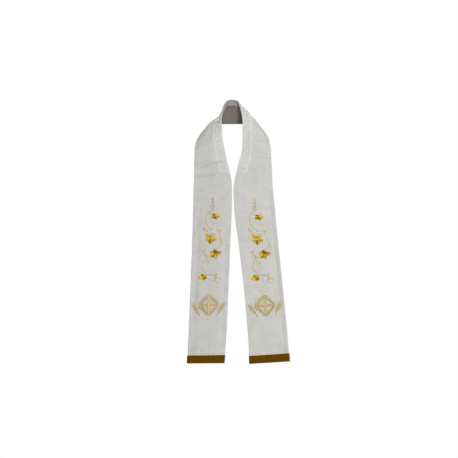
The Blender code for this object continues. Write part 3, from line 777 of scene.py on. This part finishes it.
def make_leaf(shapes, place, leaf):
    """Satin-stitched lobes on either side of their veins, inside a pale couched outline."""
    tones = leaf.tones.split()
    spokes, tags = [], []
    for i, (start, long) in enumerate(leaf.tips):
        k = (i + 1) % len(leaf.tips)
        half = (leaf.tips[k][0] - start) % 360 / 2
        for step in range(SPOKES):
            away = half * (step + 0.5) / (SPOKES / 2)
            near = away < half
            share = (away if near else 2 * half - away) / half
            tip = long if near else leaf.tips[k][1]
            reach = tip + (leaf.notches[i] - tip) * math.sin(math.pi / 2 * share) ** 1.2
            lobe, beside = (i, away) if near else (k, away - 2 * half)
            spokes.append((start + away, reach, beside, share))
            # each half lobe takes middle gold, painted highlight or painted shade from its tone
            tags.append(PAINTED_TONES[tones[lobe][0 if beside >= 0 else 1]])
    degrees, reach, beside, share = np.array(spokes).T
    rings = polar(LEAF_RINGS * reach, degrees)
    local = polar(LEAF_RINGS * reach, beside)
    local[..., 1] = np.abs(local[..., 1])
    dome = np.sqrt(np.clip(1 - LEAF_RINGS ** 5, 0, 1))
    vein = 1 - VEIN_DEPTH * np.exp(-(local[..., 1] / VEIN_HALF) ** 2)
    gully = 1 - GULLY_DEPTH * np.exp(-((1 - share) * 6) ** 2)
    lifts = PAD_BASE + LEAF_HEIGHT * dome * vein * gully
    patch(shapes, place, rings, lifts, tags, turned(local, -STITCH_LEAN))
    cord(shapes, place, polar(reach * 1.02, degrees), *LEAF_CORD, tag=3, closed=True)


def make_leaves(strip):
    shapes = Shapes()
    for leaf in LEAVES:
        make_leaf(shapes, pattern(strip, leaf.down, leaf.across), leaf)
    nodes = [f"{leaf.name}_{strip.name}" for leaf in LEAVES]
    return shapes.make(f"leaves_{strip.name}", [GOLD, GOLD_PAINTED_SHEEN, GOLD_PAINTED_SHADE, OUTLINE],
                       "gold_thread", *nodes)


# ---------------------------------------------------------------- vine
# across to +X and up, from the ring near the vine's top; half_width of the couched cord
VINE_DOWN = 477.0
VINE_RING = (12.4, 13.2)
VINE_HEIGHT, VINE_LIFT = 1.5, 0.7
Stem = namedtuple("Stem", "name half_width taper dark path")
VINE = [Stem(*row) for row in (
    ("top_curl", 1.35, 0.0, 1, ((-6, 30), (-2, 34), (4, 32), (5, 28), (1, 25), (-3, 20),
                               (3, 17), (5, 13), (2, 8))),
    ("top_bar", 1.1, 0.0, 1, ((-5, 16), (0, 20), (6, 20))),
    ("main_upper", 1.2, 0.0, 0, ((4, -6), (-4, -15), (-15, -22), (-23, -31), (-26, -48),
                                 (-22, -67), (-17, -77), (-6, -90), (4, -99))),
    ("leaf_1_stalk", 1.1, 0.0, 0, ((-15, -23), (-7, -28), (2, -31))),
    ("hook", 1.3, 0.3, 0, ((21, -102), (23, -89), (27, -77), (24, -70), (14, -67), (6, -75))),
    ("left_curl", 1.6, 0.2, 1, ((-23, -107), (-20, -99), (-25, -90), (-33, -84), (-34, -94),
                                (-28, -98))),
    ("leaf_2_stalk", 1.4, 0.0, 0, ((-24, -106), (-14, -113), (-6, -111), (7, -110),
                                   (20, -115))),
    ("small_curl", 1.3, 0.0, 1, ((30, -104), (29, -98), (36, -96), (41, -102), (37, -107))),
    ("main_right", 1.4, 0.0, 0, ((29, -103), (36, -125), (43, -142), (45, -156), (40, -161),
                                 (33, -168), (25, -178))),
    ("main_lower", 1.3, 0.0, 0, ((-2, -201), (-14, -207), (-22, -217), (-29, -227),
                                 (-34, -239), (-35, -248), (-31, -258), (-23, -267),
                                 (-13, -274), (1, -280), (16, -282), (27, -285))),
    ("tendril_1", 1.5, 0.2, 1, ((-19, -208), (-22, -196), (-31, -190), (-32, -181),
                                (-26, -178), (-23, -184))),
    ("tendril_2", 1.0, 0.0, 0, ((-17, -196), (-16, -202), (-19, -208))),
    ("side_curl", 1.3, 0.2, 0, ((-20, -220), (-9, -223), (-3, -229), (-8, -234), (-15, -231))),
    ("leaf_4_stalk", 1.1, 0.0, 0, ((-21, -269), (-20, -279), (-23, -286))),
    ("end_rise", 1.3, 0.0, 1, ((26, -272), (27, -286), (22, -297), (20, -311))),
    ("end_arc", 1.4, 0.3, 0, ((22, -300), (30, -294), (40, -295), (51, -302))),
    ("end_small", 1.2, 0.2, 0, ((26, -309), (31, -315), (37, -311))),
)]


def make_vine(strip):
    shapes = Shapes()
    place = pattern(strip, VINE_DOWN, 0)
    for stem in VINE:
        cord(shapes, place, smooth_path(stem.path), stem.half_width, VINE_HEIGHT, VINE_LIFT,
             tag=stem.dark, taper=stem.taper)
    cord(shapes, place, oval(*VINE_RING, 28), 1.4, VINE_HEIGHT, VINE_LIFT, tag=1, closed=True)
    return shapes.make(f"vine_{strip.name}", [STEM, STEM_DARK], "pale_gold_thread")


# ---------------------------------------------------------------- emblem
EMBLEM_DOWN = 882.0
FOIL_RADIUS, FOIL_LOBE, FOIL_FRAME = 22.0, 19.0, 6.5
FOIL_BARB = FOIL_RADIUS + FOIL_LOBE * 0.35
FOIL_STITCH = 6                             # stretch of the stitches over the frame
CROSS_HALF = 3.6
SPRIG_ROOT, SPRIG_LENGTH, SPRIG_LEAN = (36.0, -43.0), 54.0, 60.0
GRAIN_SIZE = (13, 5.6)
# half width, height and lift of its cords, as for cord()
FOIL_OUTER, FOIL_INNER = (0.9, 1.3, 0.7), (0.8, 1.2, 0.8)
CROSS_EDGE, SPRIG_STEM, AWN = (0.55, 1.0, 0.85), (1.2, 1.5, 0.75), (0.45, 0.8, 0.5)


# a satin frame: shares of the way across it, and of its height there
FRAME_SHARE = np.array([0.0, 0.04, 0.2, 0.5, 0.8, 0.96, 1.0])
FRAME_RISE = np.array([0.0, 0.45, 0.85, 1.0, 0.85, 0.45, 0.0])
GRAIN_RINGS = np.array([[1.0], [0.93], [0.75], [0.5], [0.25], [0.0]])


def quatrefoil(radius, lobe, corner):
    """Outline of four round lobes with a barb between each two."""
    quarter = np.vstack([polar(lobe, np.arange(-90, 91, 9.0)) + (radius, 0), (corner, corner)])
    return np.vstack([turned(quarter, 90 * k) for k in range(4)])


def satin_ring(shapes, place, outer, inner):
    """A raised band of stitches between two outlines with as many points."""
    share = FRAME_SHARE[:, None]
    path = outer[:, None] * (1 - share) + inner[:, None] * share
    full = np.concatenate([path, path[:, ::-1]], axis=1)
    lifts = np.concatenate([PAD_BASE + 1.5 * FRAME_RISE, np.full(len(share), UNDERSIDE)])
    uv = pairs(travel((outer + inner) / 2)[:, None],
               np.concatenate([FRAME_SHARE, FRAME_SHARE[::-1]]) * FOIL_STITCH)
    faces = grid(*full.shape[:2], wrap=True, close=True).tolist()
    shapes.add(place(full[..., 0], full[..., 1], lifts), faces, 0, uv)


def grain(shapes, place, centre, degrees, length, width):
    """One padded grain of wheat, pointed at its outer end, with a groove down it."""
    rim = oval(length, width, 20)
    a = 2 * math.pi * np.arange(20) / 20
    rim[:, 1] *= 1 - 0.35 * np.clip(np.cos(a), 0, 1) ** 2
    rings = GRAIN_RINGS[..., None] * rim
    x, y = rings[..., 0], rings[..., 1]
    lifts = 0.4 + 1.7 * np.sqrt(1 - GRAIN_RINGS ** 3) * (1 - 0.45 * np.exp(-(y / 0.5) ** 2))
    uv = pairs(x * 0.8 + np.abs(y) * 0.6, y)
    patch(shapes, place, turned(rings, degrees, centre), lifts, [0] * 20, uv)


def make_emblem(strip):
    """A quatrefoil of satin stitch round a cross, between two sprigs of wheat."""
    shapes = Shapes()
    place = pattern(strip, EMBLEM_DOWN, 0)
    outer = quatrefoil(FOIL_RADIUS, FOIL_LOBE, FOIL_BARB)
    inner = quatrefoil(FOIL_RADIUS, FOIL_LOBE - FOIL_FRAME, FOIL_BARB - 8.0)
    ground = np.array([1.0, 0.66, 0.33, 0.0])[:, None, None] * ((outer + inner) / 2)
    patch(shapes, place, ground, 0.45, [2] * len(outer), ground + 40.0)
    satin_ring(shapes, place, outer, inner)
    cord(shapes, place, outer * 1.005, *FOIL_OUTER, tag=1, closed=True)
    cord(shapes, place, inner * 0.985, *FOIL_INNER, tag=1, closed=True)
    reach = FOIL_RADIUS + FOIL_LOBE - FOIL_FRAME + 0.5
    for degrees in (0, 90):
        bar = turned(pairs(spread(-reach, reach, 1.5), 0), degrees)
        cord(shapes, place, bar, CROSS_HALF, 1.8, 0.75 + 0.002 * degrees, sides=12)
        for hand in (-1, 1):
            for start, end in ((4.6, reach - 1), (-reach + 1, -4.6)):
                edge = turned(pairs(spread(start, end, 1.5), hand * CROSS_HALF), degrees)
                cord(shapes, place, edge, *CROSS_EDGE, tag=1, sides=6)
    for hand in (-1, 1):
        lean = 90 - hand * (90 - SPRIG_LEAN)
        root = (hand * SPRIG_ROOT[0], SPRIG_ROOT[1])
        stem = turned([(0, 0), (0.5 * SPRIG_LENGTH, hand * 1.2), (SPRIG_LENGTH, 0)], lean, root)
        cord(shapes, place, smooth_path(stem), *SPRIG_STEM, tag=1, taper=0.3)
        for i in range(4):
            at = SPRIG_LENGTH * (0.38 + 0.19 * i)
            for side in (-1, 1):
                centre = turned([(at, side * 3.8)], lean, root)[0]
                grain(shapes, place, centre, lean + side * 32, *GRAIN_SIZE)
                tip = turned([(at + 6.0, side * 7.2), (at + 13.0, side * 9.6)], lean, root)
                cord(shapes, place, smooth_path(tip), *AWN, tag=1, sides=6, taper=0.5)
        centre = turned([(SPRIG_LENGTH + 2, 0)], lean, root)[0]
        grain(shapes, place, centre, lean, *GRAIN_SIZE)
    nodes = [f"medallion_{strip.name}", f"wheat_a_{strip.name}", f"wheat_b_{strip.name}"]
    return shapes.make(f"emblem_{strip.name}", [PALE_GOLD, PALE_DARK, PALE_TINT],
                       "pale_gold_thread", *nodes)


# ---------------------------------------------------------------- lace
LACE_WALL = 0.8
NET_STEP = 2.6                              # between the columns of its free points
LACE_LIES = 0.3                             # over the cloth
LACE_TURN = math.pi * (CLOTH / 2 + LACE_GAP)
LACE_HEM = -LACE_TURN - LACE_INSIDE         # its straight edge, against the lining
LACE_CORNER = 14.0                          # radius at either end
PITCH = LACE_END / SCALLOPS
FLOWERS = [(i * PITCH, 20) for i in range(-7, 8)]
SPRAYS = [(i + 0.5) * PITCH for i in range(-7, 7)]
# where the lace is caught down round the nape: along the neck edge, half width
TUCKS = ((-76, 4), (-58, 3), (-37, 4), (-15.7, 3), (2, 2.2), (19.4, 3), (41, 4), (62, 3), (79, 4))


def scallop(s):
    """Where the lace's scalloped edge lies, out from the neck edge."""
    width = LACE_WIDTH - SCALLOP_DEPTH * (1 - np.abs(np.cos(math.pi * s / PITCH)) ** 0.6)
    past = np.maximum(0.0, np.abs(s) - (LACE_END - LACE_CORNER))
    return width - LACE_CORNER + np.sqrt(np.maximum(0.0, LACE_CORNER**2 - past**2))


EASE_HEIGHT, EASE_REACH, EASE_FADE = 2.4, 92, 14
TUCK_DEPTH = 0.95                           # share of the height that a tuck takes away


def eased(s):
    """How far the gathered lace stands off the cloth round the nape."""
    height = EASE_HEIGHT * np.clip((EASE_REACH - np.abs(s)) / EASE_FADE, 0, 1)
    for at, half in TUCKS:
        height = height * (1 - TUCK_DEPTH * np.exp(-((s - at) / half) ** 2))
    return height


def lace_place(s, w, lift):
    """Points of the flat lace: s along the neck edge, w out from it and below zero inside."""
    s, w, lift = np.broadcast_arrays(*(np.asarray(a, float) for a in (s, w, lift)))
    found = np.empty(s.shape + (3,))
    for strip in STRIPS.values():
        chosen = (s >= 0) == (strip.side > 0)
        if not chosen.any():
            continue
        here = w[chosen]
        u = strip.down_edge(np.abs(s[chosen]))
        width = strip.width(u)
        v = (np.clip(here, 0, None) + np.clip(-here - LACE_TURN, 0, None)) / width
        base, _ = strip.base(u, v)
        normal = strip.normal(u, v)
        beside = strip.base(u, v + 2 / width)[0] - base
        away = -beside / np.linalg.norm(beside, axis=1)[:, None]
        angle = np.clip(-here / LACE_TURN, 0, 1) * math.pi
        radius = CLOTH / 2 + (LACE_LIES + eased(s[chosen]) + lift[chosen])
        found[chosen] = (base - normal * CLOTH / 2 + normal * (radius * np.cos(angle))[:, None]
                         + away * (radius * np.sin(angle))[:, None])
    return found * MM


def petals(middle):
    """The turn and the middle of each petal of a flower."""
    for turn in range(90, 450, 72):
        yield turn, turned((7.6, 0), turn, middle)


def lace_eyelets():
    """(s, w, length, width, degrees): flowers in the scallops, sprays between."""
    eyelets = [(*at, 7.4, 4.8, turn) for middle in FLOWERS for turn, at in petals(middle)]
    for s in SPRAYS:
        eyelets += [(s, 17, 5, 5, 0), (s, 8.5, 2.6, 2.6, 0), (s, 25, 2.6, 2.6, 0)]
    return np.array(eyelets)


def lace_net(along):
    """The flat lace as triangles with the eyelets cut out: points, their relief, triangles.

    Round each eyelet stand two rings of points, a raised and a flat one; the free points keep
    clear of them, of the eyelets and of the scalloped edge."""
    eyelets = lace_eyelets()
    border = np.vstack([pairs(along, scallop(along)), pairs(along[::-1], LACE_HEM)])
    loops, rims = [border[::-1]], []
    for s, w, length, width, turn in eyelets:
        sides = 14 if length > 4 else 10
        loops.append(turned(oval(length, width, sides), turn, (s, w)))
        for wider, rise in ((1.5, 0.55), (3.0, 0.0)):
            ring = turned(oval(length + wider, width + wider, sides), turn, (s, w))
            rims.append(np.insert(ring, 2, rise, axis=1))
    rims = np.vstack(rims)
    across = [-LACE_TURN * k / 6 for k in range(7)]
    across += [*np.linspace(0, 38, 14)[1:], *np.linspace(-LACE_TURN, LACE_HEM, 7)[1:-1]]
    free = np.array([(s, w) for s in spread(-LACE_END + 2, LACE_END - 2, NET_STEP)
                     for w in across])
    free = free[free[:, 1] < scallop(free[:, 0]) - 1.2]
    free = free[[np.hypot(*(rims[:, :2] - p).T).min() > NET_STEP / 2 for p in free]]
    gap = free[:, None] - eyelets[:, :2]
    cos, sin = np.cos(np.radians(eyelets[:, 4])), np.sin(np.radians(eyelets[:, 4]))
    x = (gap[..., 0] * cos + gap[..., 1] * sin) / (eyelets[:, 2] / 2 + 0.6)
    y = (-gap[..., 0] * sin + gap[..., 1] * cos) / (eyelets[:, 3] / 2 + 0.6)
    free = free[~(x ** 2 + y ** 2 < 1).any(1)]
    rims = rims[rims[:, 1] < scallop(rims[:, 0]) - 0.4]
    ends = np.cumsum([0] + [len(loop) for loop in loops])
    rise = np.concatenate([np.zeros(ends[-1]), rims[:, 2], np.zeros(len(free))])
    found = delaunay_2d_cdt([Vector(p) for p in np.vstack([*loops, rims[:, :2], free])], [],
                            [list(range(a, b)) for a, b in zip(ends, ends[1:])], 1, 0.0001)
    flat = np.array([tuple(p) for p in found[0]])
    relief = np.array([max((rise[k] for k in sources), default=0.0) for sources in found[3]])
    net = np.array([f for f, owners in zip(found[2], found[5]) if list(owners) == [0]])
    used, index = np.unique(net, return_inverse=True)
    flat, relief, net = flat[used], relief[used], index.reshape(net.shape)
    a, b, c = (flat[net[:, k]] for k in range(3))
    area = (b[:, 0] - a[:, 0]) * (c[:, 1] - a[:, 1]) - (b[:, 1] - a[:, 1]) * (c[:, 0] - a[:, 0])
    net[area < 0] = net[area < 0][:, ::-1]
    return flat, relief, net


def make_lace(along):
    """The net with thickness: its face, its underside and the walls along every edge."""
    flat, relief, net = lace_net(along)
    count = len(flat)
    top = lace_place(flat[:, 0], flat[:, 1], LACE_WALL + relief)
    low = lace_place(flat[:, 0], flat[:, 1], 0.0)
    edges = dict.fromkeys((f[i], f[i - 2]) for f in net.tolist() for i in range(3))
    faces = net.tolist() + (count + net[:, ::-1]).tolist()
    faces += [(count + p, count + q, q, p) for p, q in edges if (q, p) not in edges]
    uv = np.vstack([flat, flat])
    # the inside flap takes the net greyed partly as painted shade
    inside = [uv[list(f), 1].mean() < -LACE_TURN / 2 for f in faces]
    shapes = Shapes()
    shapes.add(np.vstack([top, low]), faces, inside, uv)
    return shapes.make("lace", [LACE_WHITE, LACE_PAINTED_SHADE], "white_lace", "lace_collar")


def make_lace_cords(along):
    """Cords round the lace's edges, flowers and petals, and the grains of its sprays."""
    shapes = Shapes()
    high = LACE_WALL + 0.15

    def sew(path, half_width, height, lift=0.0, **more):
        cord(shapes, lace_place, path, half_width, height, high + lift, **more)

    edge = pairs(along, scallop(along) - 0.5)
    end = spread(LACE_HEM + 2, float(edge[0, 1]) - 1.5, 1.6)
    sew(np.vstack([pairs(-LACE_END + 0.5, end), edge[1:-1], pairs(LACE_END - 0.5, end[::-1])]),
        1.15, 1.5, -0.2, beads=0.18)
    second = pairs(along, scallop(along) - 4.2)
    sew(second[np.abs(along) < LACE_END - 5], 0.6, 1.2, beads=0.2)
    for hand in (-1, 1):
        sew(pairs(hand * (LACE_END - 4.4), np.linspace(2, 28, 20)), 0.7, 1.3, beads=0.25)
    sew(pairs(along[2:-2], 2.0), 0.8, 1.5, beads=0.15)
    # the inner cord is greyed as painted shade
    sew(pairs(along[2:-2], LACE_HEM + 1.0), 0.7, 1.2, tag=1, beads=0.15)
    for middle in FLOWERS:
        ring = oval(27, 26, 44) + middle
        if np.abs(ring[:, 0]).max() < LACE_END - 3:
            sew(ring, 0.9, 1.4, closed=True, beads=0.15)
        sew(oval(1.8, 1.8, 8) + middle, 0.9, 1.4, 0.1, closed=True)
        for turn, at in petals(middle):
            sew(turned(oval(8.6, 6.0, 16), turn, at), 0.6, 1.2, 0.15, closed=True, sides=6)
    for s in SPRAYS:
        for hand in (-1, 1):
            for w, lean in ((12.5, 55), (21.5, -55)):
                grain(shapes, lace_place, (s + hand * 4.6, w), hand * lean + 90, 6.4, 2.8)
    return shapes.make("lace_cords", [LACE_CORD, CORD_PAINTED_SHADE], "white_lace")


def make_stole():
    for strip in STRIPS.values():
        half = make_half(strip)
        trims = [make_hem_band(strip), make_leaves(strip), make_vine(strip), make_emblem(strip)]
    corner = LACE_CORNER * np.sin(np.radians(np.arange(4, 90, 8))) + LACE_END - LACE_CORNER
    along = np.unique(np.round([*spread(-LACE_END, LACE_END, 1.6), *corner, *-corner], 3))
    lace, cords = make_lace(along), make_lace_cords(along)


make_stole()

# ---------------------------------------------------------------- camera, light and floor
PIXEL = 0.004124                            # metres to a pixel of the frame at the front cloth
FRAME_PIXELS = 458
CAMERA_AWAY = 16.0
FRONT = -0.12                               # y of the hanging panels
ORIGIN_PIXEL = (232.3, 99.7)                # where the nape seam stands in the frame
AIM = (0, -0.1, -0.5)
WORLD_LIGHT = 0.17
FLOOR_RADIUS, FLOOR_Z = 1.6, -1.62

Lamp = namedtuple("Lamp", "name place size power")
LAMPS = (
    Lamp("key", (1.5, -4.8, 4.5), 1.4, 216),
    Lamp("front", (1.7, -6.9, -0.5), 2.6, 120),
    Lamp("bounce", (0, -6.4, -3.4), 2.6, 34),
    Lamp("rim", (4.1, 1.9, 4.9), 2.0, 60),
    Lamp("back", (-2.2, 5.6, 1.4), 2.6, 110),
)


def put(name, data, place):
    made = bpy.data.objects.new(name, data)
    made.location = place
    bpy.context.scene.collection.objects.link(made)
    return made


def make_camera():
    data = bpy.data.cameras.new("camera")
    data.sensor_width = 36.0
    data.lens = data.sensor_width * (CAMERA_AWAY + FRONT) / (FRAME_PIXELS * PIXEL)
    data.clip_end = 60
    x = (FRAME_PIXELS / 2 - ORIGIN_PIXEL[0]) * PIXEL
    z = (ORIGIN_PIXEL[1] - FRAME_PIXELS / 2) * PIXEL
    camera = put("camera", data, (x, -CAMERA_AWAY, z))
    camera.rotation_euler = (math.radians(90), 0, 0)
    bpy.context.scene.camera = camera


def make_lamp(lamp):
    data = bpy.data.lights.new(lamp.name, "AREA")
    data.shape = "DISK"
    data.size = lamp.size
    data.energy = lamp.power
    aim = Vector(AIM) - Vector(lamp.place)
    put(lamp.name, data, lamp.place).rotation_euler = aim.to_track_quat("-Z", "Y").to_euler()


def make_world():
    """Soft grey light on the part, before a ground that the camera sees white."""
    world = bpy.data.worlds.new("studio")
    bpy.context.scene.world = world
    world.use_nodes = True
    tree = world.node_tree
    soft, seen = tree.nodes["Background"], tree.nodes.new("ShaderNodeBackground")
    for background, strength in ((soft, WORLD_LIGHT), (seen, 1.0)):
        background.inputs["Color"].default_value = (1, 1, 1, 1)
        background.inputs["Strength"].default_value = strength
    path = tree.nodes.new("ShaderNodeLightPath")
    mix = tree.nodes.new("ShaderNodeMixShader")
    tree.links.new(path.outputs["Is Camera Ray"], mix.inputs["Fac"])
    tree.links.new(soft.outputs["Background"], mix.inputs[1])
    tree.links.new(seen.outputs["Background"], mix.inputs[2])
    tree.links.new(mix.outputs["Shader"], tree.nodes["World Output"].inputs["Surface"])


def make_floor():
    mesh = bpy.data.meshes.new("floor")
    sheet = bmesh.new()
    bmesh.ops.create_circle(sheet, cap_ends=True, segments=96, radius=FLOOR_RADIUS)
    sheet.to_mesh(mesh)
    sheet.free()
    mesh.materials.append(Finish("floor", (252, 252, 252), 0.9).material)
    put("floor", mesh, (0, 0, FLOOR_Z))


bpy.context.scene.view_settings.view_transform = "Standard"
make_camera()
make_world()
make_floor()
for lamp in LAMPS:
    make_lamp(lamp)
